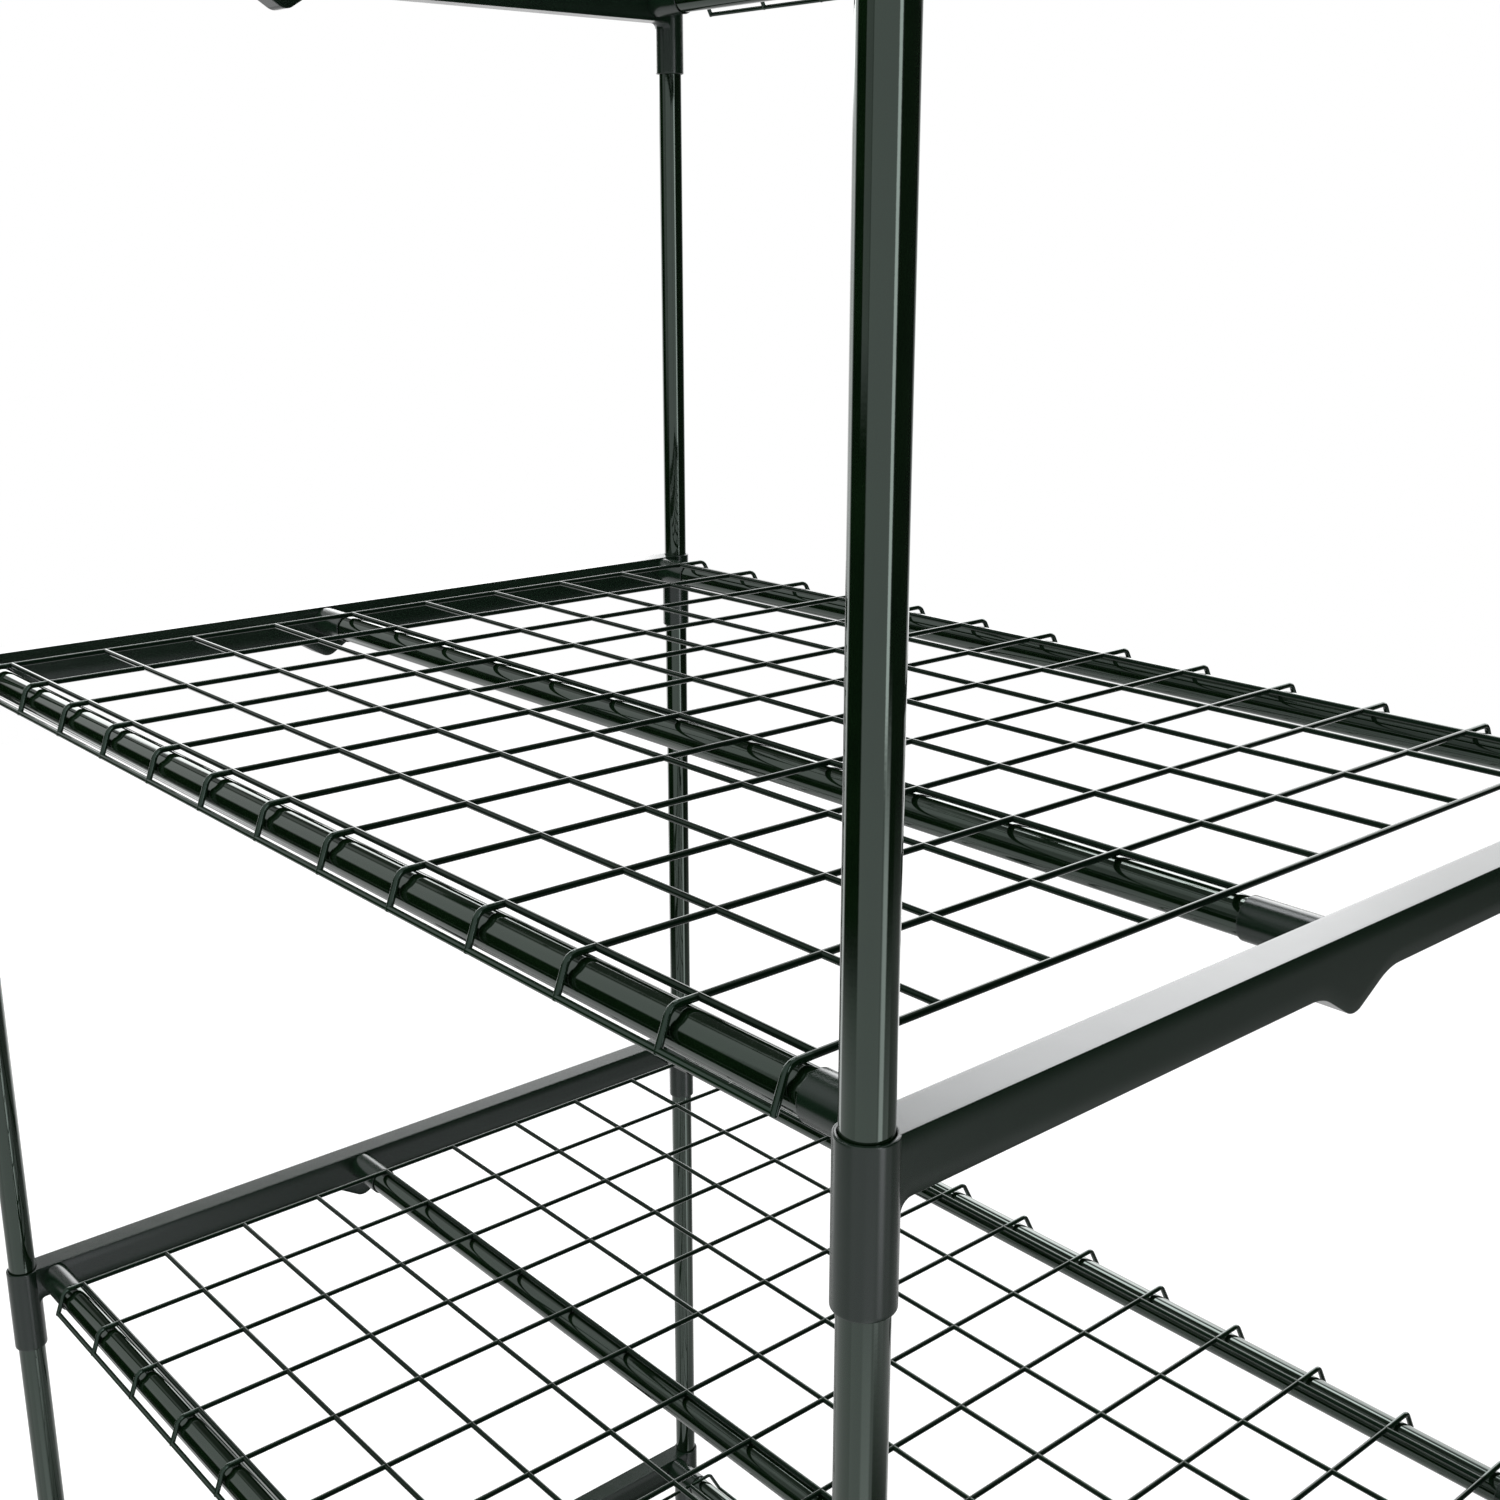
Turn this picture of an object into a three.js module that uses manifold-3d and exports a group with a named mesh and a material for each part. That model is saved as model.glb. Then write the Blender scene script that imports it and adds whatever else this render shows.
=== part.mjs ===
// Frame of a four-tier mini greenhouse: moulded side bars carry steel posts and cross tubes,
// and a welded wire shelf hooks over the tubes of each tier.
// Millimetres, Z up. The origin is on the ground at the middle of the footprint,
// X runs along the cross tubes and the front faces -Y.

import * as THREE from "three";
import { mergeVertices } from "three/addons/utils/BufferGeometryUtils.js";
import Module from "manifold-3d";

const wasm = await Module();
wasm.setup();

// Overall frame, between post axes
const frameWidth = 678.9;
const frameDepth = 483.8;
const tierCount = 4;
const tierPitch = 357.8;
const lowestShelfHeight = 100;

// Steel tube of the posts and cross tubes
const tubeDiameter = 14.5;
const tubeWall = 1;
const fitGap = 0.3;

// Side bar with its two post sleeves
const barWidth = 14.7;
const barHeight = 18.5;
const barTopDrop = 0.6;
const sleeveDiameter = 17.6;
const sleeveLength = 48.9;
const sleeveWeb = 3;
const sleeveFilletRadius = 4;

// Collars that take the cross tubes, and the lobe under the middle one
const collarDiameter = 16.2;
const collarLength = 27;
const endTubeInset = 15.5;
const lobeDepth = 29.3;
const lobeTipRadius = 7.8;
const lobeFilletRadius = 21.5;
const lobeFlankAngle = THREE.MathUtils.degToRad(32);

// Roof gable: level shoulders over the posts, then a slope up to the ridge
const ridgeRise = 69.3;
const shoulderLength = 34;
const shoulderRadius = 12;
const ridgeRadius = 10;
const ridgeTubeDrop = 10.5;

// Wire shelf
const wireDiameter = 2.6;
const wireCount = 13;
const crossWireCount = 10;
const middleTubeCellCount = 4;
const shelfSideGap = 3.7;
const frontWireInset = 4.5;
const backWireInset = 11.8;
const hookBendRadius = 4.5;

// Hooks of the front and back edge: the lean of the leg, how far it comes down, and its play
const frontHook = { lean: THREE.MathUtils.degToRad(20), drop: 12.5, play: 0 };
const backHook = { lean: THREE.MathUtils.degToRad(29), drop: 16.8, play: 2.1 };

// Foot cap
const footDiameter = 19;
const footHeight = 25;
const footSole = 3;

// Facets
const postSides = 10;
const crossSides = 8;
const arcSteps = 3;

// Places worked out from the sizes above
const postX = frameWidth / 2;
const postY = frameDepth / 2;
const tubeRadius = tubeDiameter / 2;
const boreRadius = tubeRadius + fitGap;
const innerFaceX = postX - barWidth / 2;
const collarMouthX = innerFaceX - collarLength;
const endTubeY = postY - endTubeInset;
const sleeveInnerY = postY - Math.sqrt(sleeveDiameter ** 2 - barWidth ** 2) / 2;
const webMiddle = -barTopDrop - sleeveLength / 2;
const roofLevel = tierCount;

// The square section of a shelf wire has the area of the round wire, with a corner on top
const wireReach = (wireDiameter / 2) * Math.sqrt(Math.PI / 2);
const tubeDrop = wireReach + fitGap + tubeRadius;
const outerWireX = collarMouthX - shelfSideGap - wireDiameter / 2;
const wirePitch = (2 * outerWireX) / (wireCount - 1);
const frontWireY = frontWireInset - endTubeY;
const backWireY = endTubeY - backWireInset;
const crossWirePitch = (backWireY - frontWireY) / (crossWireCount - 1);
const middleTubeY = frontWireY + middleTubeCellCount * crossWirePitch;

const paintedSteel = { color: 0x14241a, roughness: 0.2, metalness: 0.4 };
const wirePaint = { color: 0x1b3324, roughness: 0.25, metalness: 0.4 };
const sidePlastic = { color: 0x2c332f, roughness: 0.35, metalness: 0 };
const footPlastic = { color: 0x1f2423, roughness: 0.55, metalness: 0 };

const greenhouse = new THREE.Group();
greenhouse.name = "mini_greenhouse";

function shelfHeight(level) {
  return lowestShelfHeight + level * tierPitch;
}

function addPiece(name, geometry, finish, x, y, z) {
  const piece = new THREE.Mesh(geometry, new THREE.MeshStandardMaterial(finish));
  piece.name = name;
  piece.position.set(x, y, z);
  greenhouse.add(piece);
}

// Exchange between geometries and solids that can be joined and cut

function toSolid(geometry) {
  const bare = geometry.clone();
  bare.deleteAttribute("normal");
  bare.deleteAttribute("uv");
  const merged = mergeVertices(bare);
  const mesh = new wasm.Mesh({
    numProp: 3,
    vertProperties: merged.attributes.position.array,
    triVerts: Uint32Array.from(merged.index.array),
  });
  return new wasm.Manifold(mesh);
}

function toGeometry(solid) {
  const mesh = solid.getMesh();
  const geometry = new THREE.BufferGeometry();
  geometry.setAttribute("position", new THREE.BufferAttribute(mesh.vertProperties, 3));
  geometry.setIndex(new THREE.BufferAttribute(mesh.triVerts, 1));
  geometry.computeVertexNormals();
  return geometry;
}

// Round forms along Z and along X

function uprightRod(radius, low, high, y) {
  const rod = new THREE.CylinderGeometry(radius, radius, high - low, postSides);
  return toSolid(rod.rotateX(Math.PI / 2).translate(0, y, (low + high) / 2));
}

function crossRod(radius, start, end, y, z) {
  const rod = new THREE.CylinderGeometry(radius, radius, Math.abs(end - start), crossSides);
  return toSolid(rod.rotateZ(Math.PI / 2).translate((start + end) / 2, y, z));
}

function tube(length, roundSides) {
  const inner = tubeRadius - tubeWall;
  const section = [
    new THREE.Vector2(inner, -length / 2),
    new THREE.Vector2(tubeRadius, -length / 2),
    new THREE.Vector2(tubeRadius, length / 2),
    new THREE.Vector2(inner, length / 2),
    new THREE.Vector2(inner, -length / 2),
  ];
  return new THREE.LatheGeometry(section, roundSides);
}

// Outline whose corners are rounded by their own radius

function roundedOutline(corners) {
  const points = [];
  corners.forEach(({ at, radius }, index) => {
    if (!radius) {
      points.push(at);
      return;
    }
    const before = corners[index - 1].at.clone().sub(at).normalize();
    const after = corners[index + 1].at.clone().sub(at).normalize();
    const halfAngle = Math.acos(before.dot(after)) / 2;
    const inward = before.clone().add(after).normalize();
    const centre = at.clone().addScaledVector(inward, radius / Math.sin(halfAngle));
    const start = at.clone().addScaledVector(before, radius / Math.tan(halfAngle)).sub(centre);
    const turn = (Math.PI - 2 * halfAngle) * Math.sign(after.cross(before));
    for (let step = 0; step <= arcSteps; step += 1) {
      const spoke = start.clone().rotateAround(new THREE.Vector2(), (turn * step) / arcSteps);
      points.push(spoke.add(centre));
    }
  });
  return new THREE.Shape(points);
}

// Side view of a moulding in Y and Z, with its top at the posts at Z 0.
// A gable rises between its shoulders, and a shelf bar stays level.

function mouldingOutline(rise, middleY) {
  const run = postY - shoulderLength;
  const slope = Math.atan2(rise, run);
  const flank = Math.tan(lobeFlankAngle);
  const lobeTip = rise - lobeDepth - lobeTipRadius * (1 / Math.cos(lobeFlankAngle) - 1);
  const underside = rise - barHeight / Math.cos(slope);
  const lobeHalfWidth = (underside - lobeTip) / (flank + Math.tan(slope));
  const lobeTop = lobeTip + lobeHalfWidth * flank;
  const filletFoot = -barHeight - sleeveFilletRadius;
  const shoulderUnder = run - barHeight * Math.tan(slope / 2);
  const corner = (y, z, radius = 0) => ({ at: new THREE.Vector2(y, z), radius });
  const gable = rise > 0;
  const frontShoulder = gable ? [corner(-shoulderUnder, -barHeight, shoulderRadius)] : [];
  const backShoulder = gable ? [corner(shoulderUnder, -barHeight, shoulderRadius)] : [];
  const ridge = gable
    ? [corner(run, 0, shoulderRadius), corner(0, rise, ridgeRadius), corner(-run, 0, shoulderRadius)]
    : [];
  return roundedOutline([
    corner(-postY, filletFoot),
    corner(-sleeveInnerY, filletFoot),
    corner(-sleeveInnerY, -barHeight, sleeveFilletRadius),
    ...frontShoulder,
    corner(middleY - lobeHalfWidth, lobeTop, lobeFilletRadius),
    corner(middleY, lobeTip, lobeTipRadius),
    corner(middleY + lobeHalfWidth, lobeTop, lobeFilletRadius),
    ...backShoulder,
    corner(sleeveInnerY, -barHeight, sleeveFilletRadius),
    corner(sleeveInnerY, filletFoot),
    corner(postY, filletFoot),
    corner(postY, 0),
    ...ridge,
    corner(-postY, 0),
  ]);
}

// One moulding: bar, two sleeves and three collars. Its X starts at the post axis.
// A web across each sleeve stops the posts; a gable's sleeves are closed above it.

function moulding(side, rise, middleY, middleZ) {
  const profile = new THREE.ExtrudeGeometry(mouldingOutline(rise, middleY), {
    depth: barWidth,
    bevelEnabled: false,
  });
  const alongY = new THREE.Vector3(0, 1, 0);
  const alongZ = new THREE.Vector3(0, 0, 1);
  const alongX = new THREE.Vector3(1, 0, 0);
  profile.applyMatrix4(new THREE.Matrix4().makeBasis(alongY, alongZ, alongX));
  profile.translate(-barWidth / 2, 0, -barTopDrop);

  const top = -barTopDrop;
  const bottom = top - sleeveLength;
  const innerFace = (-side * barWidth) / 2;
  const mouth = innerFace - side * collarLength;
  const overrun = mouth - side * fitGap;
  const seats = [
    [-endTubeY, -tubeDrop],
    [middleY, middleZ],
    [endTubeY, -tubeDrop],
  ];

  let body = toSolid(profile);
  for (const y of [-postY, postY]) {
    body = body.add(uprightRod(sleeveDiameter / 2, bottom, top, y));
  }
  for (const [y, z] of seats) {
    body = body.add(crossRod(collarDiameter / 2, 0, mouth, y, z));
  }
  for (const y of [-postY, postY]) {
    body = body.subtract(uprightRod(boreRadius, bottom - fitGap, webMiddle - sleeveWeb / 2, y));
    if (rise === 0) {
      body = body.subtract(uprightRod(boreRadius, webMiddle + sleeveWeb / 2, top + fitGap, y));
    }
  }
  for (const [y, z] of seats) {
    body = body.subtract(crossRod(boreRadius, innerFace, overrun, y, z));
  }
  return toGeometry(body);
}

// Net of four-sided wires. Wires that cross share the corners of their mitre, so that the net
// is one closed surface. A strut joins two rings of corners, which turn the same way round it.

function wireNet() {
  const corners = [];
  return {
    strut(from, to) {
      from.forEach((corner, index) => {
        const next = (index + 1) % from.length;
        corners.push(corner, from[next], to[index], from[next], to[next], to[index]);
      });
    },
    geometry() {
      const net = mergeVertices(new THREE.BufferGeometry().setFromPoints(corners));
      net.computeVertexNormals();
      return net;
    },
  };
}

// Crossing of a shelf wire and a cross wire. An outermost wire has no crossing on one side,
// where one corner serves the front and the back.

function crossing(column, cross) {
  const x = column * wirePitch - outerWireX;
  const y = frontWireY + cross * crossWirePitch;
  const at = (dx, dy, dz) => new THREE.Vector3(x + dx, y + dy, dz);
  const pair = (dx, ends) => (ends ? [at(dx, 0, 0)] : [at(dx, -wireReach, 0), at(dx, wireReach, 0)]);
  const left = pair(-wireReach, column === 0);
  const right = pair(wireReach, column === wireCount - 1);
  return {
    up: at(0, 0, wireReach),
    down: at(0, 0, -wireReach),
    frontLeft: left[0],
    backLeft: left.at(-1),
    frontRight: right[0],
    backRight: right.at(-1),
  };
}

// Path of a hook in Y and Z: the bend over an end tube, then a leg that leans outward and
// passes the tube with the fit gap and any play

function hookPath(facing, { lean, drop, play }) {
  const legDistance = tubeRadius + wireReach + fitGap + play;
  const bendOut = (legDistance - tubeDrop * Math.sin(lean)) / Math.cos(lean);
  const bendReach = hookBendRadius * Math.tan(Math.PI / 4 - lean / 2);
  const place = (out, z) => new THREE.Vector3(0, facing * (endTubeY + out), z);
  return [
    place(bendOut - bendReach, 0),
    place(bendOut + bendReach * Math.sin(lean), -bendReach * Math.cos(lean)),
    place(bendOut + drop * Math.tan(lean), -drop),
  ];
}

// Hooks of one edge, each from its crossing down to the long wire that joins their feet

function hookRow(net, cross, facing, hook) {
  const path = hookPath(facing, hook);
  const sideways = new THREE.Vector3(facing, 0, 0);
  const level = new THREE.Vector3(0, facing, 0);
  const leg = path[2].clone().sub(path[1]).normalize();
  const bends = [level, path[1].clone().sub(path[0]).normalize(), leg];
  let lastFoot = null;
  for (let column = 0; column < wireCount; column += 1) {
    const x = column * wirePitch - outerWireX;
    const at = (point, ...steps) => {
      const moved = point.clone().setX(x);
      steps.forEach((step) => moved.add(step));
      return moved;
    };
    const start = crossing(column, cross);
    const beyond = facing > 0 ? start.backRight : start.frontLeft;
    const before = facing > 0 ? start.backLeft : start.frontRight;
    let ring = [start.up, beyond, start.down, before];
    for (const index of [0, 1]) {
      const tangent = bends[index].clone().add(bends[index + 1]).normalize();
      const mitre = tangent.dot(bends[index]);
      const outward = sideways.clone().cross(tangent).multiplyScalar(wireReach / mitre);
      const beside = sideways.clone().multiplyScalar(wireReach);
      const inward = outward.clone().negate();
      const point = path[index];
      const bend = [at(point, outward), at(point, beside), at(point, inward), at(point, beside.negate())];
      net.strut(ring, bend);
      ring = bend;
    }

    const foot = path[2];
    const across = sideways.clone().cross(leg).multiplyScalar(wireReach);
    const down = leg.clone().multiplyScalar(wireReach);
    const up = down.clone().negate();
    const toRight = new THREE.Vector3(wireReach, 0, 0);
    const toLeft = toRight.clone().negate();
    const outer = at(foot, across);
    const inner = at(foot, across.clone().negate());
    const first = column === 0;
    const last = column === wireCount - 1;
    const left = first ? at(foot, toLeft, down) : at(foot, toLeft, up);
    const right = last ? at(foot, toRight, down) : at(foot, toRight, up);
    const middle = first || last ? null : at(foot, down);
    const under = middle ?? (first ? left : right);
    net.strut(ring, facing > 0 ? [outer, right, inner, left] : [outer, left, inner, right]);
    if (lastFoot) {
      const here = facing > 0 ? [outer, left, inner, under] : [outer, under, inner, left];
      net.strut(lastFoot, here);
    }
    lastFoot = facing > 0 ? [outer, right, inner, under] : [outer, under, inner, right];
  }
}

// The flat grid of a shelf with its two rows of hooks

function wireShelf() {
  const net = wireNet();
  const lastCross = crossWireCount - 1;
  for (let cross = 0; cross <= lastCross; cross += 1) {
    for (let column = 0; column < wireCount; column += 1) {
      const here = crossing(column, cross);
      if (cross < lastCross) {
        const behind = crossing(column, cross + 1);
        const from = [here.up, here.backRight, here.down, here.backLeft];
        net.strut(from, [behind.up, behind.frontRight, behind.down, behind.frontLeft]);
      }
      if (column < wireCount - 1) {
        const beside = crossing(column + 1, cross);
        const from = [here.up, here.frontRight, here.down, here.backRight];
        net.strut(from, [beside.up, beside.frontLeft, beside.down, beside.backLeft]);
      }
    }
  }
  hookRow(net, 0, -1, frontHook);
  hookRow(net, lastCross, 1, backHook);
  return net.geometry();
}

function footCap() {
  const outer = footDiameter / 2;
  const section = [
    new THREE.Vector2(0, 0),
    new THREE.Vector2(outer, 0),
    new THREE.Vector2(outer, footHeight),
    new THREE.Vector2(boreRadius, footHeight),
    new THREE.Vector2(boreRadius, footSole),
    new THREE.Vector2(0, footSole),
  ];
  return new THREE.LatheGeometry(section, postSides).rotateX(Math.PI / 2);
}

const sides = [["left", -1], ["right", 1]];
const ends = [["front", -1], ["back", 1]];

// Feet and legs

const webAt = (level) => shelfHeight(level) + webMiddle;
const legLow = footSole + fitGap;
const legHigh = webAt(0) - sleeveWeb / 2 - fitGap;
const postLength = tierPitch - sleeveWeb - 2 * fitGap;
const foot = footCap();
const leg = tube(legHigh - legLow, postSides).rotateX(Math.PI / 2);
const post = tube(postLength, postSides).rotateX(Math.PI / 2);
for (const [sideName, side] of sides) {
  for (const [endName, end] of ends) {
    addPiece(`foot_${endName}_${sideName}`, foot, footPlastic, side * postX, end * postY, 0);
    const legMiddle = (legLow + legHigh) / 2;
    addPiece(`leg_${endName}_${sideName}`, leg, paintedSteel, side * postX, end * postY, legMiddle);
    for (let level = 0; level < tierCount; level += 1) {
      const name = `post_${endName}_${sideName}_${level + 1}`;
      addPiece(name, post, paintedSteel, side * postX, end * postY, webAt(level) + tierPitch / 2);
    }
  }
}

// Side bars, cross tubes and wire shelf of each tier

const crossTube = tube(2 * (innerFaceX - fitGap), crossSides).rotateZ(Math.PI / 2);
const shelf = wireShelf();
const tierTubes = [["front", -endTubeY], ["middle", middleTubeY], ["back", endTubeY]];
for (const [sideName, side] of sides) {
  const bar = moulding(side, 0, middleTubeY, -tubeDrop);
  for (let level = 0; level < tierCount; level += 1) {
    addPiece(`side_bar_${sideName}_${level + 1}`, bar, sidePlastic, side * postX, 0, shelfHeight(level));
  }
}
for (let level = 0; level < tierCount; level += 1) {
  const height = shelfHeight(level);
  for (const [tubeName, y] of tierTubes) {
    addPiece(`cross_tube_${tubeName}_${level + 1}`, crossTube, paintedSteel, 0, y, height - tubeDrop);
  }
  addPiece(`wire_shelf_${level + 1}`, shelf, wirePaint, 0, 0, height);
}

// Roof: two gables, two eave tubes and the ridge tube

const ridgeTubeZ = ridgeRise - ridgeTubeDrop - barTopDrop;
for (const [sideName, side] of sides) {
  const gable = moulding(side, ridgeRise, 0, ridgeTubeZ);
  addPiece(`roof_gable_${sideName}`, gable, sidePlastic, side * postX, 0, shelfHeight(roofLevel));
}
for (const [endName, end] of ends) {
  const height = shelfHeight(roofLevel) - tubeDrop;
  addPiece(`eave_tube_${endName}`, crossTube, paintedSteel, 0, end * endTubeY, height);
}
addPiece("ridge_tube", crossTube, paintedSteel, 0, 0, shelfHeight(roofLevel) + ridgeTubeZ);

export default greenhouse;
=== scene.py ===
# Looks of the mini greenhouse frame: painted tubes, moulded side bars and welded wire shelves.
# Sizes are in millimetres until a mesh is made, and metres after that.

import math

import bmesh
import bpy
from mathutils import Matrix, Vector


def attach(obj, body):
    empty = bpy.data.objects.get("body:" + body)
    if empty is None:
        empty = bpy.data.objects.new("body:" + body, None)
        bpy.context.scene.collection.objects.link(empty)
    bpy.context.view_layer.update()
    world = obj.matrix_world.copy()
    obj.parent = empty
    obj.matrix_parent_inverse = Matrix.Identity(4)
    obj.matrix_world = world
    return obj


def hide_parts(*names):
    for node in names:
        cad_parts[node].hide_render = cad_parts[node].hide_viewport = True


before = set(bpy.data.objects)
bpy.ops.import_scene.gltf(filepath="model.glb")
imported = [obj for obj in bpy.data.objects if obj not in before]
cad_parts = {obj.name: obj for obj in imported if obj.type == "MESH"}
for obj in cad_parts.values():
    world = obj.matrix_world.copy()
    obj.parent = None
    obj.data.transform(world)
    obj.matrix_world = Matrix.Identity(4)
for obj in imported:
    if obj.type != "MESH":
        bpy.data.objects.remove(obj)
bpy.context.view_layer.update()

MM = 0.001

# Frame, between post axes
POST_X = 339.45
POST_Y = 241.9
TIERS = 4
TIER_PITCH = 357.8
LOWEST_SHELF = 100.0

# Tubes, and the mouldings that hold them
TUBE_R = 7.25
TUBE_WALL = 1.0
BORE_R = 7.55
FIT = 0.3
BAR_HALF = 7.35
BAR_HEIGHT = 18.5
BAR_DROP = 0.6
BAR_EDGE = 0.3
BAR_CROWN = 0.35
CROWN_REACH = 5.5
BAR_SEAM = 0.6
SLEEVE_R = 8.8
SLEEVE_LENGTH = 48.9
SLEEVE_WEB = 3.0
SLEEVE_FILLET = 4.0
COLLAR_R = 8.1
COLLAR_LENGTH = 27.0
COLLAR_ROOT = 3
TUBE_DROP = 9.179
END_TUBE_Y = 226.4
MIDDLE_TUBE_Y = -27.9
LOBE_DEPTH = 29.3
LOBE_TIP_R = 7.8
LOBE_FILLET = 21.5
LOBE_FLANK = math.radians(32)

# Roof gable
RIDGE_RISE = 69.3
SHOULDER_LENGTH = 34.0
SHOULDER_R = 12.0
RIDGE_R = 10.0
RIDGE_TUBE_Z = 58.2

# Wire shelf
WIRE_R = 1.3
WIRE_COUNT = 13
CROSS_COUNT = 10
OUTER_WIRE_X = 300.1
FRONT_WIRE_Y = -221.9
BACK_WIRE_Y = 214.6
WIRE_OVERHANG = 0.7
HOOK_BEND = 4.5

# From a tube to the axis of a hook's leg, without the fit gap
HOOK_REACH = 1.629

# Hooks of the front and back edge: lean of the leg, how far it comes down, and its play
FRONT_HOOK = (math.radians(20), 12.5, 0.0)
BACK_HOOK = (math.radians(29), 16.8, 2.1)

# Foot cap
FOOT_R = 9.5
FOOT_HEIGHT = 25.0
FOOT_SOLE = 3.0

WEB_MIDDLE = -BAR_DROP - SLEEVE_LENGTH / 2
INNER_FACE = POST_X - BAR_HALF

# Detail: sides of round pieces, steps of arcs and of the bar's width, and the angles in degrees
# above which an edge stays sharp
SLEEVE_SIDES = 96
COLLAR_SIDES = 80
TUBE_SIDES = 72
WIRE_SIDES = 14
FILLET_STEPS = 8
RIDGE_STEPS = 10
FLANK_STEPS = 12
TIP_STEPS = 14
BEND_STEPS = 10
CROWN_STEPS = 5
FLAT_STEPS = 5
SHARP_MOULDING = 40
SHARP_TUBE = 50


def shelf_height(level):
    return LOWEST_SHELF + level * TIER_PITCH


# Mesh code


class Shell:
    """Points and faces in millimetres; each call adds one closed surface."""

    def __init__(self):
        self.points = []
        self.faces = []

    def skin(self, rings, looped=False):
        """Joins rings of equal count into a tube, closed by a loop or by flat ends."""
        first = len(self.points)
        count = len(rings[0])
        for ring in rings:
            self.points.extend(ring)
        last = len(rings) if looped else len(rings) - 1
        for r in range(last):
            a = first + r * count
            b = first + ((r + 1) % len(rings)) * count
            for k in range(count):
                n = (k + 1) % count
                self.faces.append((a + k, a + n, b + n, b + k))
        if not looped:
            self.faces.append(tuple(range(first, first + count)))
            end = first + (len(rings) - 1) * count
            self.faces.append(tuple(range(end, end + count)))

    def lathe(self, profile, place, segments, looped=False):
        """Turns (radius, height) pairs; place(u, v, height) gives the point."""
        turns = [2 * math.pi * k / segments for k in range(segments)]
        rings = []
        for radius, height in profile:
            rings.append([place(radius * math.cos(t), radius * math.sin(t), height) for t in turns])
        self.skin(rings, looped)

    def mesh(self, name, sharp):
        """The surfaces as a mesh in metres, smooth up to that angle in degrees."""
        data = bpy.data.meshes.new(name)
        data.from_pydata([tuple(c * MM for c in p) for p in self.points], [], self.faces)
        work = bmesh.new()
        work.from_mesh(data)
        bmesh.ops.recalc_face_normals(work, faces=work.faces)
        work.to_mesh(data)
        work.free()
        data.shade_smooth()
        data.set_sharp_from_angle(angle=math.radians(sharp))
        return data


def upright(y):
    """Places a lathe profile on a vertical axis."""
    return lambda u, v, h: Vector((u, y + v, h))


def across(start, facing, y, z):
    """Places a lathe profile on an axis along X, from start to the side that it faces."""
    return lambda u, v, h: Vector((start + facing * h, y + u, z + v))


def rounded(radius, height, facing_r, facing_h, size, steps=4):
    """Quarter circle round a corner of a lathe profile, from its side to its end."""
    points = []
    for k in range(steps + 1):
        turn = math.pi / 2 * k / steps
        points.append((radius - facing_r * size * (1 - math.cos(turn)),
                       height - facing_h * size * (1 - math.sin(turn))))
    return points


def tube_profile(low, high):
    """Closed section of a cut tube with its edges broken, and rings that hold the long faces."""
    inner = TUBE_R - TUBE_WALL
    edge = 0.3
    hold = 0.4
    outside_top = [(TUBE_R, high - edge - hold)] + rounded(TUBE_R, high, 1, 1, edge)
    inside_top = rounded(inner, high, -1, 1, edge)[::-1] + [(inner, high - edge - hold)]
    inside_low = [(inner, low + edge + hold)] + rounded(inner, low, -1, -1, edge)
    outside_low = rounded(TUBE_R, low, 1, -1, edge)[::-1] + [(TUBE_R, low + edge + hold)]
    return outside_top + inside_top + inside_low + outside_low


def corner_points(before, at, after, radius, steps):
    """Points of the arc that rounds a corner of an outline."""
    back = (before - at).normalized()
    ahead = (after - at).normalized()
    half = math.acos(max(-1, min(1, back.dot(ahead)))) / 2
    centre = at + (back + ahead).normalized() * (radius / math.sin(half))
    start = at + back * (radius / math.tan(half)) - centre
    side = 1 if ahead.x * back.y - ahead.y * back.x > 0 else -1
    turn = (math.pi - 2 * half) * side
    points = []
    for k in range(steps + 1):
        angle = turn * k / steps
        c, s = math.cos(angle), math.sin(angle)
        points.append(Vector((start.x * c - start.y * s, start.x * s + start.y * c)) + centre)
    return points


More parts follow.
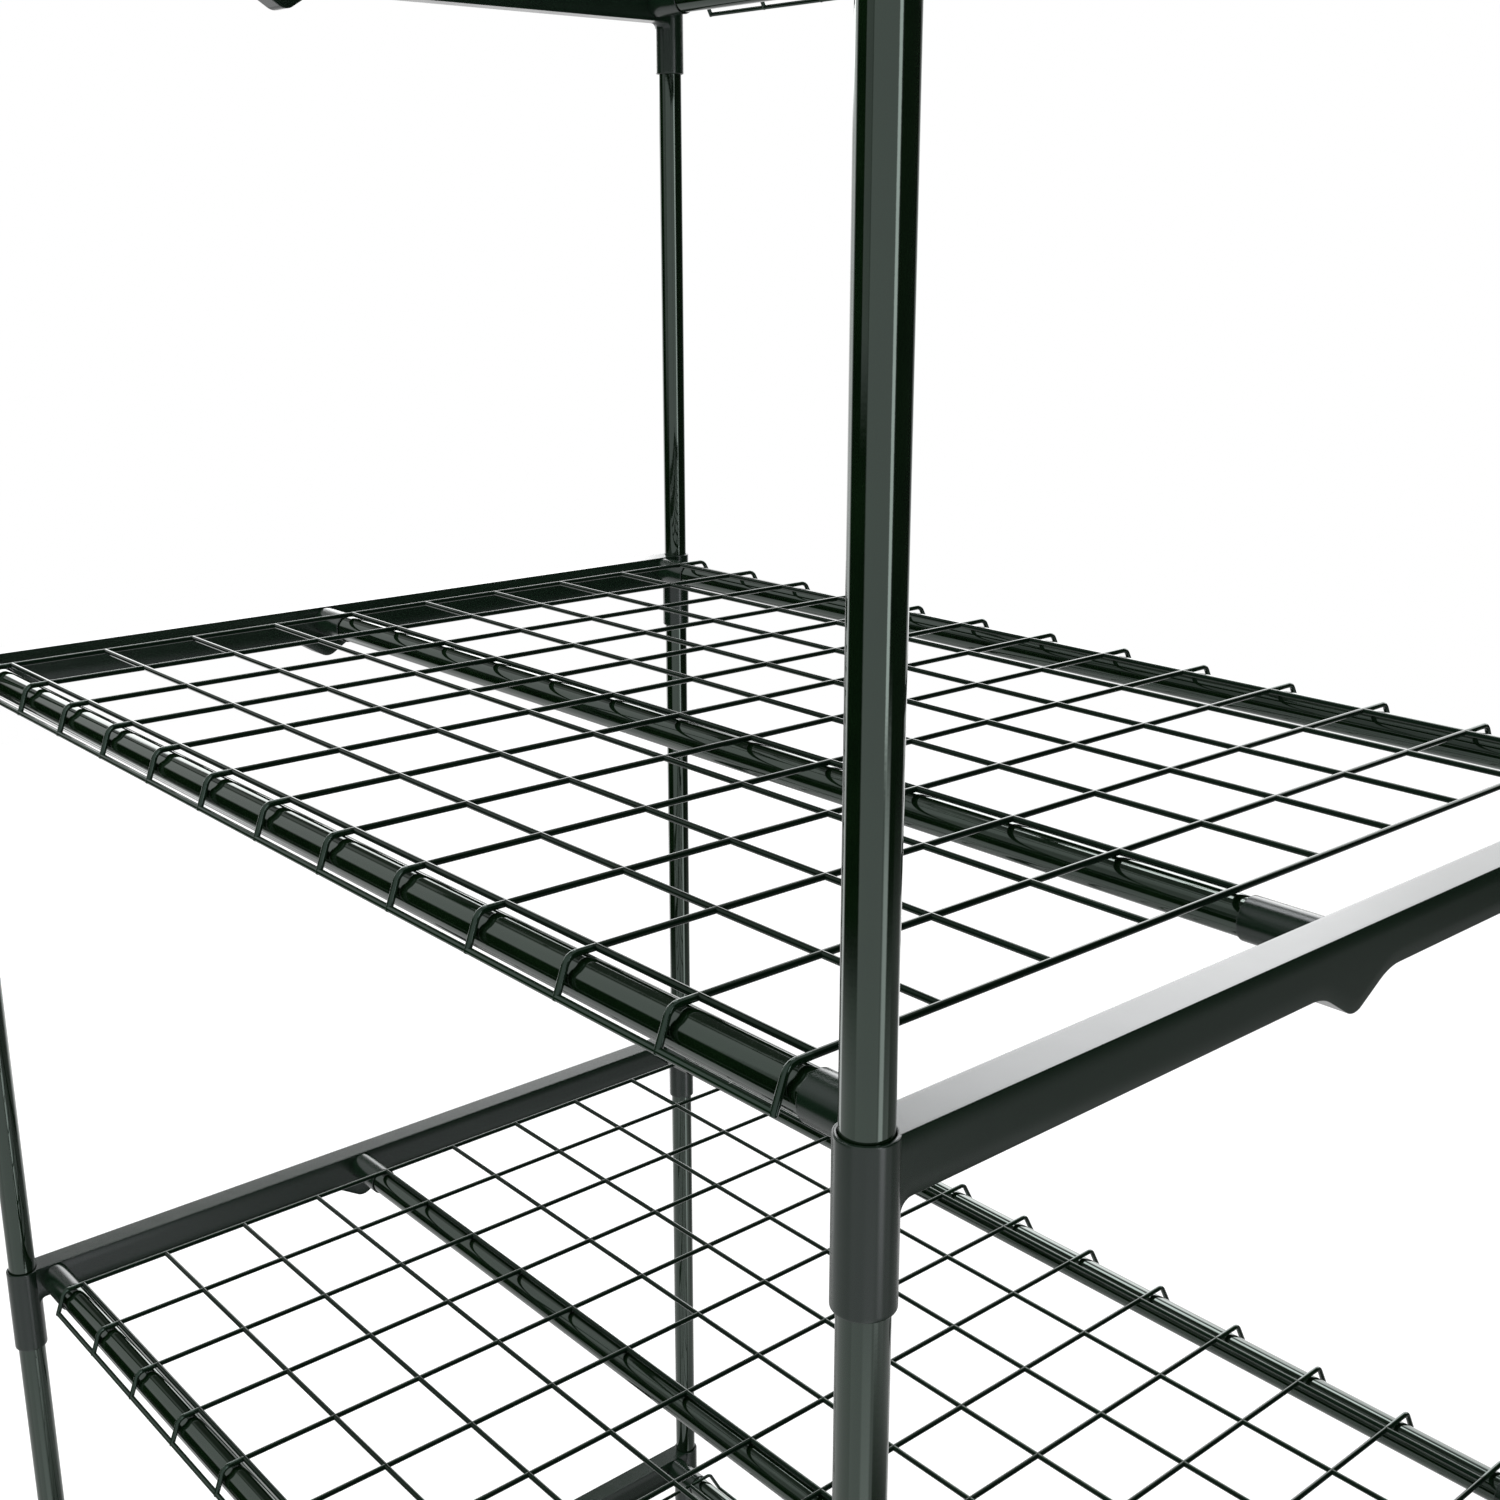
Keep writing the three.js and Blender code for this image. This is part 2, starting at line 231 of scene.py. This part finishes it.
def moulding_outline(x, rise, middle):
    """Side view of a moulding at one place across its width. Its fillets follow the sleeves."""
    sleeve = POST_Y - math.sqrt(SLEEVE_R ** 2 - x ** 2)
    hidden = POST_Y - math.sqrt((SLEEVE_R - BAR_SEAM) ** 2 - x ** 2)
    run = POST_Y - SHOULDER_LENGTH
    slope = math.atan2(rise, run)
    flank = math.tan(LOBE_FLANK)
    tip = rise - LOBE_DEPTH - LOBE_TIP_R * (1 / math.cos(LOBE_FLANK) - 1)
    underside = rise - BAR_HEIGHT / math.cos(slope)
    half = (underside - tip) / (flank + math.tan(slope))
    lobe_top = tip + half * flank
    foot = -BAR_HEIGHT - SLEEVE_FILLET
    under = run - BAR_HEIGHT * math.tan(slope / 2)
    front, back, ridge = [], [], []
    if rise:
        front = [(-under, -BAR_HEIGHT, SHOULDER_R, FILLET_STEPS)]
        back = [(under, -BAR_HEIGHT, SHOULDER_R, FILLET_STEPS)]
        ridge = [
            (run, 0, SHOULDER_R, FILLET_STEPS),
            (0, rise, RIDGE_R, RIDGE_STEPS),
            (-run, 0, SHOULDER_R, FILLET_STEPS),
        ]
    # Y, Z, radius and steps. Without a radius a corner is sharp, and without steps it only aims
    # the arc beside it.
    corners = [
        (-hidden, foot, 0, 0),
        (-sleeve, foot, 0, None),
        (-sleeve, -BAR_HEIGHT, SLEEVE_FILLET, FILLET_STEPS),
        *front,
        (middle - half, lobe_top, LOBE_FILLET, FLANK_STEPS),
        (middle, tip, LOBE_TIP_R, TIP_STEPS),
        (middle + half, lobe_top, LOBE_FILLET, FLANK_STEPS),
        *back,
        (sleeve, -BAR_HEIGHT, SLEEVE_FILLET, FILLET_STEPS),
        (sleeve, foot, 0, None),
        (hidden, foot, 0, 0),
        (hidden, 0, 0, 0),
        *ridge,
        (-hidden, 0, 0, 0),
    ]
    spots = [Vector((y, z)) for y, z, _, _ in corners]
    points = []
    for k, (_, _, radius, steps) in enumerate(corners):
        if radius:
            points.extend(corner_points(spots[k - 1], spots[k], spots[k + 1], radius, steps))
        elif steps is not None:
            points.append(spots[k])
    return points


def pulled_in(points, inset, sink):
    """The outline moved inward by inset, and then up or down by sink toward its middle."""
    mitre_limit = 0.3
    moved = []
    for k, point in enumerate(points):
        ahead = points[(k + 1) % len(points)]
        a = (point - points[k - 1]).normalized()
        b = (ahead - point).normalized()
        normal = Vector((-(a + b).y, (a + b).x)).normalized()
        edge = point + normal * (inset / max(mitre_limit, normal.dot(Vector((-a.y, a.x)))))
        moved.append(edge + Vector((0, math.copysign(sink, normal.y))))
    return moved


def add_bar(shell, rise, middle):
    """Body of a moulding, with its long edges softly broken and its sides a little crowned."""
    edge = BAR_HALF - BAR_CROWN
    turns = [math.radians(t) for t in (0, 30, 60, 90)]
    # Stations across the bar: X, inset and sink
    ends = [(edge - BAR_EDGE * (1 - math.sin(t)), BAR_EDGE * (1 - math.cos(t)), 0) for t in turns]
    for k in range(1, CROWN_STEPS + 1):
        hollow = BAR_CROWN * (1 - k / CROWN_STEPS) ** 2
        ends.append((BAR_HALF - hollow, BAR_EDGE, CROWN_REACH * k / CROWN_STEPS))
    flat = edge - BAR_EDGE
    inside = [(flat * k / FLAT_STEPS, 0, 0) for k in range(1 - FLAT_STEPS, FLAT_STEPS)]
    stations = [(-x, inset, sink) for x, inset, sink in ends[::-1]] + inside + ends
    rings = []
    for x, inset, sink in stations:
        outline = pulled_in(moulding_outline(x, rise, middle), inset, sink)
        rings.append([Vector((x, p.x, p.y - BAR_DROP)) for p in outline])
    shell.skin(rings)


def add_sleeve(shell, y, closed):
    """Sleeve for two post sections, with a web between them. A closed one has a plain top."""
    # Its top lies a hair under the bar's. Here and in the collars and caps, the points beside each
    # rounded edge keep the long faces flat.
    clear_of_bar = 0.02
    core = 0.4
    top = -BAR_DROP - clear_of_bar
    bottom = -BAR_DROP - SLEEVE_LENGTH
    web_top = WEB_MIDDLE + SLEEVE_WEB / 2
    web_low = WEB_MIDDLE - SLEEVE_WEB / 2
    if closed:
        profile = [(core, top), (SLEEVE_R - 1.4, top)]
    else:
        profile = [(core, web_top), (BORE_R, web_top), (BORE_R, top - 0.7)]
        profile += rounded(BORE_R, top, -1, 1, 0.25, 3)
    profile += rounded(SLEEVE_R, top, 1, 1, 0.45)[::-1] + [(SLEEVE_R, top - 1.2)]
    profile += [(SLEEVE_R, bottom + 1.4)] + rounded(SLEEVE_R, bottom, 1, -1, 0.6)
    profile += rounded(BORE_R, bottom, -1, -1, 0.3, 3)[::-1] + [(BORE_R, bottom + 0.9)]
    profile += [(BORE_R, web_low), (core, web_low)]
    shell.lathe(profile, upright(y), SLEEVE_SIDES)


def add_collar(shell, side, y, z):
    """Collar that holds a cross tube, with a rounded mouth."""
    mouth = COLLAR_LENGTH
    profile = [(COLLAR_R, -COLLAR_ROOT), (COLLAR_R, mouth - 1.1)]
    profile += rounded(COLLAR_R, mouth, 1, 1, 0.35)
    profile += rounded(BORE_R, mouth, -1, 1, 0.15, 3)[::-1]
    profile += [(BORE_R, mouth - 0.9), (BORE_R, -COLLAR_ROOT)]
    shell.lathe(profile, across(-side * BAR_HALF, -side, y, z), COLLAR_SIDES, looped=True)


def moulding(name, side, rise, middle, middle_z):
    """Side bar, or roof gable if it rises, with its sleeves and collars."""
    shell = Shell()
    add_bar(shell, rise, middle)
    for y in (-POST_Y, POST_Y):
        add_sleeve(shell, y, rise > 0)
    for y, z in ((-END_TUBE_Y, -TUBE_DROP), (middle, middle_z), (END_TUBE_Y, -TUBE_DROP)):
        add_collar(shell, side, y, z)
    return shell.mesh(name, SHARP_MOULDING)


def add_wire(shell, path):
    """Round wire along a path in one plane, with softly rounded ends."""
    def ring(centre, tangent, radius):
        beside = Vector((1, 0, 0)) if abs(tangent.x) < 0.5 else Vector((0, 1, 0))
        out = beside.cross(tangent).normalized()
        turns = [2 * math.pi * k / WIRE_SIDES for k in range(WIRE_SIDES)]
        return [centre + (beside * math.cos(t) + out * math.sin(t)) * radius for t in turns]

    tangents = []
    for k in range(len(path)):
        a = path[max(0, k - 1)]
        b = path[min(len(path) - 1, k + 1)]
        tangents.append((b - a).normalized())
    tangents[0] = (path[1] - path[0]).normalized()
    tangents[-1] = (path[-1] - path[-2]).normalized()
    # Radius and distance from the end, as shares of the wire's radius
    cap = ((0.55, 0.0), (0.85, 0.14), (1.0, 0.4))
    start, end = tangents[0], tangents[-1]
    rings = [ring(path[0] + start * WIRE_R * d, start, WIRE_R * r) for r, d in cap]
    rings += [ring(p, t, WIRE_R) for p, t in zip(path[1:-1], tangents[1:-1])]
    rings += [ring(path[-1] - end * WIRE_R * d, end, WIRE_R * r) for r, d in cap[::-1]]
    shell.skin(rings)


def hook_path(facing, lean, drop, play):
    """Points from the foot of a hook up its leaning leg and round its bend to the grid."""
    leg = TUBE_R + HOOK_REACH + FIT + play
    bend_out = (leg - TUBE_DROP * math.sin(lean)) / math.cos(lean)
    turn = math.pi / 2 - lean
    reach = HOOK_BEND * math.tan(turn / 2)
    corner = Vector((0, facing * (END_TUBE_Y + bend_out), 0))
    down = Vector((0, facing * math.sin(lean), -math.cos(lean)))
    level = Vector((0, -facing, 0))
    foot = Vector((0, facing * (END_TUBE_Y + bend_out + drop * math.tan(lean)), -drop))
    centre = corner + level * reach + Vector((0, 0, -HOOK_BEND))
    hold = 0.3
    points = [foot + down * WIRE_R, foot + down * 0.1, corner + down * (reach + hold)]
    for k in range(BEND_STEPS + 1):
        angle = turn * (1 - k / BEND_STEPS)
        points.append(centre + Vector((0, facing * math.sin(angle), math.cos(angle))) * HOOK_BEND)
    points.append(corner + level * (reach + hold))
    return foot, points


def wire_shelf(name):
    """Wires from hook to hook, crossed by the wires of the grid and one under each hook row."""
    shell = Shell()
    front_foot, front = hook_path(-1, *FRONT_HOOK)
    back_foot, back = hook_path(1, *BACK_HOOK)
    pitch = 2 * OUTER_WIRE_X / (WIRE_COUNT - 1)
    for k in range(WIRE_COUNT):
        x = Vector((k * pitch - OUTER_WIRE_X, 0, 0))
        add_wire(shell, [p + x for p in front + back[::-1]])
    half = OUTER_WIRE_X + WIRE_OVERHANG
    hold = 0.8
    ends = [-half, -half + hold, half - hold, half]
    spacing = (BACK_WIRE_Y - FRONT_WIRE_Y) / (CROSS_COUNT - 1)
    rows = [Vector((0, FRONT_WIRE_Y + k * spacing, 0)) for k in range(CROSS_COUNT)]
    for row in rows + [front_foot, back_foot]:
        add_wire(shell, [row + Vector((x, 0, 0)) for x in ends])
    return shell.mesh(name, SHARP_TUBE)


def straight_tube(name, length):
    shell = Shell()
    shell.lathe(tube_profile(-length / 2, length / 2), upright(0), TUBE_SIDES, looped=True)
    return shell.mesh(name, SHARP_TUBE)


def foot_cap(name):
    """Cup with a sole, softly rounded at the floor and at its mouth."""
    shell = Shell()
    core = 0.5
    profile = [(core, 0)] + rounded(FOOT_R, 0, 1, -1, 1.2, 5)[::-1] + [(FOOT_R, 2.2)]
    profile += [(FOOT_R, FOOT_HEIGHT - 1.4)] + rounded(FOOT_R, FOOT_HEIGHT, 1, 1, 0.7)
    profile += rounded(BORE_R, FOOT_HEIGHT, -1, 1, 0.3, 3)[::-1] + [(BORE_R, FOOT_HEIGHT - 0.9)]
    profile += [(BORE_R, FOOT_SOLE), (core, FOOT_SOLE)]
    shell.lathe(profile, upright(0), TUBE_SIDES)
    return shell.mesh(name, SHARP_MOULDING)


# Materials

# Noise lies mostly between these values
NOISE_LOW = 0.3
NOISE_HIGH = 0.7

# Painted light on the hooks, greener and glossier than the grid wires as if lit from the front: how
# far beyond the grid's last wires it starts, and its fade
HOOK_LIGHT_START = 1.0
HOOK_LIGHT_FADE = 1.0


def new_material(name):
    material = bpy.data.materials.new(name)
    material.use_nodes = True
    tree = material.node_tree
    shader = tree.nodes["Principled BSDF"]
    where = tree.nodes.new("ShaderNodeTexCoord")
    return material, tree, shader, where.outputs["Object"]


def noise(tree, where, scale, detail=2.0, roughness=0.5):
    node = tree.nodes.new("ShaderNodeTexNoise")
    node.inputs["Scale"].default_value = scale
    node.inputs["Detail"].default_value = detail
    node.inputs["Roughness"].default_value = roughness
    tree.links.new(where, node.inputs["Vector"])
    return node.outputs["Fac"]


def ramp(tree, factor, low, high):
    """A colour from low to high over the range of the noise."""
    node = tree.nodes.new("ShaderNodeValToRGB")
    first, last = node.color_ramp.elements
    first.position = NOISE_LOW
    first.color = (*low, 1)
    last.position = NOISE_HIGH
    last.color = (*high, 1)
    tree.links.new(factor, node.inputs["Fac"])
    return node.outputs["Color"]


def spread(tree, factor, low, high):
    """A value from low to high over the range of the noise."""
    node = tree.nodes.new("ShaderNodeMapRange")
    node.inputs["From Min"].default_value = NOISE_LOW
    node.inputs["From Max"].default_value = NOISE_HIGH
    node.inputs["To Min"].default_value = low
    node.inputs["To Max"].default_value = high
    tree.links.new(factor, node.inputs["Value"])
    return node.outputs["Result"]


def math_node(tree, operation, a, b=None):
    node = tree.nodes.new("ShaderNodeMath")
    node.operation = operation
    for socket, value in zip(node.inputs, (a, b)):
        if value is None:
            continue
        if isinstance(value, (int, float)):
            socket.default_value = value
        else:
            tree.links.new(value, socket)
    return node.outputs[0]


def soft_step(tree, value, edge, soft):
    """0 below the edge and 1 above it, blended over soft to either side."""
    node = tree.nodes.new("ShaderNodeMapRange")
    node.interpolation_type = "SMOOTHSTEP"
    node.inputs["From Min"].default_value = edge - soft
    node.inputs["From Max"].default_value = edge + soft
    tree.links.new(value, node.inputs["Value"])
    return node.outputs["Result"]


def bump(tree, shader, height, distance, strength):
    node = tree.nodes.new("ShaderNodeBump")
    node.inputs["Distance"].default_value = distance
    node.inputs["Strength"].default_value = strength
    tree.links.new(height, node.inputs["Height"])
    tree.links.new(node.outputs["Normal"], shader.inputs["Normal"])


def gloss_paint(name, deep, thin, smooth, dull, ior, tint):
    """Gloss paint: colour that varies with its thickness, and a faint ripple in the gloss."""
    material, tree, shader, where = new_material(name)
    coat = noise(tree, where, scale=45, detail=3, roughness=0.6)
    haze = noise(tree, where, scale=160, detail=3)
    ripple = noise(tree, where, scale=700, detail=1.5)
    tree.links.new(ramp(tree, coat, deep, thin), shader.inputs["Base Color"])
    tree.links.new(spread(tree, haze, smooth, dull), shader.inputs["Roughness"])
    bump(tree, shader, ripple, distance=0.00002, strength=0.25)
    shader.inputs["IOR"].default_value = ior
    shader.inputs["Specular Tint"].default_value = (*tint, 1)
    return material


def paint_light_on_hooks(material, colour, tint):
    """Painted light and painted glints: the hooks of a wire shelf get a greener colour and a
    brighter gloss tint, which stand in for the light on their fronts.
    """
    tree = material.node_tree
    shader = tree.nodes["Principled BSDF"]
    where = tree.nodes.new("ShaderNodeTexCoord")
    axes = tree.nodes.new("ShaderNodeSeparateXYZ")
    tree.links.new(where.outputs["Object"], axes.inputs[0])
    middle = (FRONT_WIRE_Y + BACK_WIRE_Y) / 2
    reach = (BACK_WIRE_Y - FRONT_WIRE_Y) / 2 + WIRE_R
    off = math_node(tree, "ABSOLUTE", math_node(tree, "SUBTRACT", axes.outputs["Y"], middle * MM))
    hook = soft_step(tree, off, (reach + HOOK_LIGHT_START) * MM, HOOK_LIGHT_FADE * MM)
    # Painted light: the hooks' colour and gloss tint are blended in over those of the grid
    for name, lit_look in (("Base Color", colour), ("Specular Tint", tint)):
        socket = shader.inputs[name]
        mix = tree.nodes.new("ShaderNodeMixRGB")
        mix.inputs["Color1"].default_value = socket.default_value
        mix.inputs["Color2"].default_value = (*lit_look, 1)
        if socket.is_linked:
            tree.links.new(socket.links[0].from_socket, mix.inputs["Color1"])
        tree.links.new(hook, mix.inputs["Fac"])
        tree.links.new(mix.outputs["Color"], socket)


def moulded(name, deep, pale, smooth, dull, grain):
    """Moulded plastic: slight flow marks in the colour and a fine satin grain."""
    material, tree, shader, where = new_material(name)
    flow = noise(tree, where, scale=30, detail=4, roughness=0.65)
    wear = noise(tree, where, scale=90, detail=4)
    satin = noise(tree, where, scale=1500)
    tree.links.new(ramp(tree, flow, deep, pale), shader.inputs["Base Color"])
    tree.links.new(spread(tree, wear, smooth, dull), shader.inputs["Roughness"])
    bump(tree, shader, satin, distance=0.000004, strength=grain)
    shader.inputs["IOR"].default_value = 1.5
    shader.inputs["Specular Tint"].default_value = (0.90, 0.91, 0.97, 1)
    return material


painted_steel = gloss_paint(
    "gloss_green_tube_paint",
    deep=(0.0020, 0.0062, 0.0023),
    thin=(0.0034, 0.0100, 0.0034),
    smooth=0.03,
    dull=0.06,
    ior=1.66,
    tint=(0.83, 1.0, 0.92),
)
wire_paint = gloss_paint(
    "gloss_green_wire_coat",
    deep=(0.0018, 0.0056, 0.0028),
    thin=(0.0026, 0.0076, 0.0040),
    smooth=0.04,
    dull=0.07,
    ior=1.5,
    tint=(0.16, 0.28, 0.20),
)
# Painted light and painted glints: a greener colour and a brighter gloss tint on the hooks only
paint_light_on_hooks(wire_paint, colour=(0.0026, 0.0104, 0.0036), tint=(0.75, 1.0, 0.90))
side_plastic = moulded(
    "satin_dark_moulding",
    deep=(0.0034, 0.0116, 0.0054),
    pale=(0.0046, 0.0142, 0.0068),
    smooth=0.21,
    dull=0.23,
    grain=0.08,
)
foot_plastic = moulded(
    "matt_dark_cap",
    deep=(0.010, 0.012, 0.011),
    pale=(0.014, 0.017, 0.0155),
    smooth=0.45,
    dull=0.6,
    grain=0.5,
)

FINISH = {
    "painted_steel": painted_steel,
    "wire_paint": wire_paint,
    "side_plastic": side_plastic,
    "foot_plastic": foot_plastic,
}


def place(name, mesh, node, slot, x, y, z, body="frame", lying=False):
    """One piece of the part, at x, y, z in millimetres, in place of its CAD node."""
    if not mesh.materials:
        mesh.materials.append(FINISH[slot])
    piece = bpy.data.objects.new(name, mesh)
    bpy.context.scene.collection.objects.link(piece)
    piece.location = (x * MM, y * MM, z * MM)
    if lying:
        piece.rotation_euler = (0, math.pi / 2, 0)
    bpy.context.view_layer.update()
    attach(piece, body)
    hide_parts(node)
    return piece


# Feet, legs and posts

leg_low = FOOT_SOLE + FIT
leg_high = shelf_height(0) + WEB_MIDDLE - SLEEVE_WEB / 2 - FIT
leg_mesh = straight_tube("leg_tube", leg_high - leg_low)
post_mesh = straight_tube("post_tube", TIER_PITCH - SLEEVE_WEB - 2 * FIT)
foot_mesh = foot_cap("foot_cap")
for side_name, side in (("left", -1), ("right", 1)):
    for end_name, end in (("front", -1), ("back", 1)):
        corner = f"{end_name}_{side_name}"
        x, y = side * POST_X, end * POST_Y
        place(f"cap_{corner}", foot_mesh, f"foot_{corner}", "foot_plastic", x, y, 0)
        middle = (leg_low + leg_high) / 2
        place(f"painted_leg_{corner}", leg_mesh, f"leg_{corner}", "painted_steel", x, y, middle)
        for level in range(TIERS):
            middle = shelf_height(level) + WEB_MIDDLE + TIER_PITCH / 2
            node = f"post_{corner}_{level + 1}"
            place(f"painted_{node}", post_mesh, node, "painted_steel", x, y, middle)

# Side bars and gables

for side_name, side in (("left", -1), ("right", 1)):
    bar_mesh = moulding(f"bar_{side_name}", side, 0, MIDDLE_TUBE_Y, -TUBE_DROP)
    gable_mesh = moulding(f"gable_{side_name}", side, RIDGE_RISE, 0, RIDGE_TUBE_Z)
    pieces = []
    for level in range(TIERS):
        pieces.append((bar_mesh, f"side_bar_{side_name}_{level + 1}", shelf_height(level)))
    pieces.append((gable_mesh, f"roof_gable_{side_name}", shelf_height(TIERS)))
    for mesh, node, height in pieces:
        piece = place(f"moulded_{node}", mesh, node, "side_plastic", side * POST_X, 0, height)
        weighted = piece.modifiers.new("flat faces stay flat", "WEIGHTED_NORMAL")
        weighted.keep_sharp = True

# Cross tubes and wire shelves

cross_mesh = straight_tube("cross_tube", 2 * (INNER_FACE - FIT))
shelf_mesh = wire_shelf("welded_wire")


def cross_tube(node, y, z):
    place(f"painted_{node}", cross_mesh, node, "painted_steel", 0, y, z, lying=True)


for level in range(TIERS):
    height = shelf_height(level)
    for tube_name, y in (("front", -END_TUBE_Y), ("middle", MIDDLE_TUBE_Y), ("back", END_TUBE_Y)):
        cross_tube(f"cross_tube_{tube_name}_{level + 1}", y, height - TUBE_DROP)
    node = f"wire_shelf_{level + 1}"
    place(f"welded_{node}", shelf_mesh, node, "wire_paint", 0, 0, height, body=f"shelf_{level + 1}")
eave_height = shelf_height(TIERS) - TUBE_DROP
for end_name, end in (("front", -1), ("back", 1)):
    cross_tube(f"eave_tube_{end_name}", end * END_TUBE_Y, eave_height)
cross_tube("ridge_tube", 0, shelf_height(TIERS) + RIDGE_TUBE_Z)

# Studio: a white room with soft boxes and dark flags, a white floor and a soft key lamp

# Level of the room where nothing hangs, and of its light on surfaces without gloss
ROOM_LEVEL = 0.8
PLAIN_LIGHT = 0.7

# Soft boxes and flags that gloss sees, each over the ones before it: compass from and to, height
# from and to, softness, all in degrees, and level. Compass 0 is in front of the part and 90 to
# its right.
PANELS = [
    (-2, 83, -90, 90, 2, 1.0),
    (-86, -45, 11, 48, 1.5, 0.95),
    (-75, -4, -24, 10, 3, 0.0),
    (-31, -5, -5, 9, 2, 0.6),
    (-45, -2, 11, 30, 2, 0.45),
    (-96, -80, -30, 10, 3, 2.2),
    (95, 180, -24, 45, 5, 0.02),
    (135, 180, -33, -20, 4, 0.25),
    (95, 180, -90, -36, 4, 0.1),
    (-180, -165, -12, 9, 4, 0.4),
    (-163, -134, -26, 9, 3, 1.7),
    (83, 94, -16, 30, 2, 5.0),
    (90, 108, -32, -17, 4, 3.0),
    (-98, -84, 17, 46, 1.5, 0.4),
    (-130, -98, 22, 48, 3, 0.08),
    (-136, -100, -10, 4, 3, 1.3),
    (-125, -98, -60, -12, 4, 0.55),
    (-125, -60, 50, 75, 3, 0.15),
    (-180, -132, 9, 36, 2.5, 5.3),
    (-180, -151, 9, 34, 3, 3.3),
    (165, 180, 9, 34, 3, 3.3),
    (45, 80, -60, -35, 5, 1.6),
    (-128, -95, 4, 25, 1.5, 4.4),
    (-143, -104, 50, 61, 2, 8.0),
]

world = bpy.data.worlds.new("white_room")
bpy.context.scene.world = world
world.use_nodes = True
tree = world.node_tree
background = tree.nodes["Background"]
direction = tree.nodes.new("ShaderNodeTexCoord")
axes = tree.nodes.new("ShaderNodeSeparateXYZ")
tree.links.new(direction.outputs["Generated"], axes.inputs[0])
forward = math_node(tree, "MULTIPLY", axes.outputs["Y"], -1.0)
compass = math_node(tree, "DEGREES", math_node(tree, "ARCTAN2", axes.outputs["X"], forward))
height = math_node(tree, "DEGREES", math_node(tree, "ARCSINE", axes.outputs["Z"]))
room = ROOM_LEVEL
for left, right, low, high, soft, level in PANELS:
    limits = (
        (compass, left, 1, 180),
        (compass, right, -1, 180),
        (height, low, 1, 90),
        (height, high, -1, 90),
    )
    inside = None
    for value, edge, sign, end in limits:
        if abs(edge) == end:
            continue
        step = soft_step(tree, value, edge, soft)
        if sign < 0:
            step = math_node(tree, "SUBTRACT", 1.0, step)
        inside = step if inside is None else math_node(tree, "MULTIPLY", inside, step)
    change = math_node(tree, "SUBTRACT", level, room)
    room = math_node(tree, "ADD", math_node(tree, "MULTIPLY", inside, change), room)

# Gloss sees the panels, the camera and glass see white, and all else gets the plain light
rays = tree.nodes.new("ShaderNodeLightPath").outputs
extra = math_node(tree, "SUBTRACT", room, PLAIN_LIGHT)
extra = math_node(tree, "MULTIPLY", extra, rays["Is Glossy Ray"])
strength = math_node(tree, "ADD", extra, PLAIN_LIGHT)
straight = math_node(tree, "MAXIMUM", rays["Is Camera Ray"], rays["Is Transmission Ray"])
white = math_node(tree, "MULTIPLY", straight, 1 - PLAIN_LIGHT)
background.inputs["Color"].default_value = (1, 1, 1, 1)
tree.links.new(math_node(tree, "ADD", strength, white), background.inputs["Strength"])

# Floor, a white disk that glows a little where it is seen

FLOOR_R = 3200
FLOOR_SIDES = 96
FLOOR_DROP = 0.5
FLOOR_GLOW = 0.3

floor_shell = Shell()
for k in range(FLOOR_SIDES):
    turn = 2 * math.pi * k / FLOOR_SIDES
    floor_shell.points.append(Vector((FLOOR_R * math.cos(turn), FLOOR_R * math.sin(turn), 0)))
floor_shell.faces.append(tuple(range(FLOOR_SIDES)))
floor = bpy.data.objects.new("studio_floor", floor_shell.mesh("studio_floor", SHARP_MOULDING))
bpy.context.scene.collection.objects.link(floor)
floor.location = (0, 0, -FLOOR_DROP * MM)
floor.visible_glossy = False
material, tree, shader, _ = new_material("white_floor")
shader.inputs["Base Color"].default_value = (0.9, 0.9, 0.9, 1)
shader.inputs["Roughness"].default_value = 0.9
rays = tree.nodes.new("ShaderNodeLightPath").outputs
shown = math_node(tree, "MAXIMUM", rays["Is Camera Ray"], rays["Is Glossy Ray"])
shown = math_node(tree, "MAXIMUM", shown, rays["Is Transmission Ray"])
glow = math_node(tree, "MULTIPLY", shown, FLOOR_GLOW)
shader.inputs["Emission Color"].default_value = (1, 1, 1, 1)
tree.links.new(glow, shader.inputs["Emission Strength"])
floor.data.materials.append(material)

# Key lamp, in metres and watts

LAMP_SIZE = 2.4
LAMP_POWER = 60
LAMP_PLACE = (-1.5, -1.8, 3.4)
LAMP_AIM = Vector((0, 0, 0.8))

key_data = bpy.data.lights.new("soft_key", "AREA")
key_data.shape = "DISK"
key_data.size = LAMP_SIZE
key_data.energy = LAMP_POWER
key = bpy.data.objects.new("soft_key", key_data)
bpy.context.scene.collection.objects.link(key)
key.location = LAMP_PLACE
key.rotation_euler = (LAMP_AIM - key.location).to_track_quat("-Z", "Y").to_euler()
key.visible_glossy = False
key.visible_camera = False

# Camera: where the photo was taken from, in metres, as fitted to the wire grid

SENSOR_WIDTH = 36
LENS = 43.593
CAMERA_PLACE = Vector((0.62615, -0.52914, 1.0288))
CAMERA_RIGHT = Vector((0.655808, 0.754927, 0))
CAMERA_UP = Vector((-0.2080, 0.1807, 0.9613)).normalized()

camera_data = bpy.data.cameras.new("photo_camera")
camera_data.sensor_fit = "HORIZONTAL"
camera_data.sensor_width = SENSOR_WIDTH
camera_data.lens = LENS
camera = bpy.data.objects.new("photo_camera", camera_data)
bpy.context.scene.collection.objects.link(camera)
columns = (CAMERA_RIGHT, CAMERA_UP, CAMERA_RIGHT.cross(CAMERA_UP), CAMERA_PLACE)
rows = [[column[k] for column in columns] for k in range(3)]
camera.matrix_world = Matrix(rows + [[0, 0, 0, 1]])
bpy.context.scene.camera = camera
bpy.context.scene.view_settings.view_transform = "Standard"

bpy.context.view_layer.update()
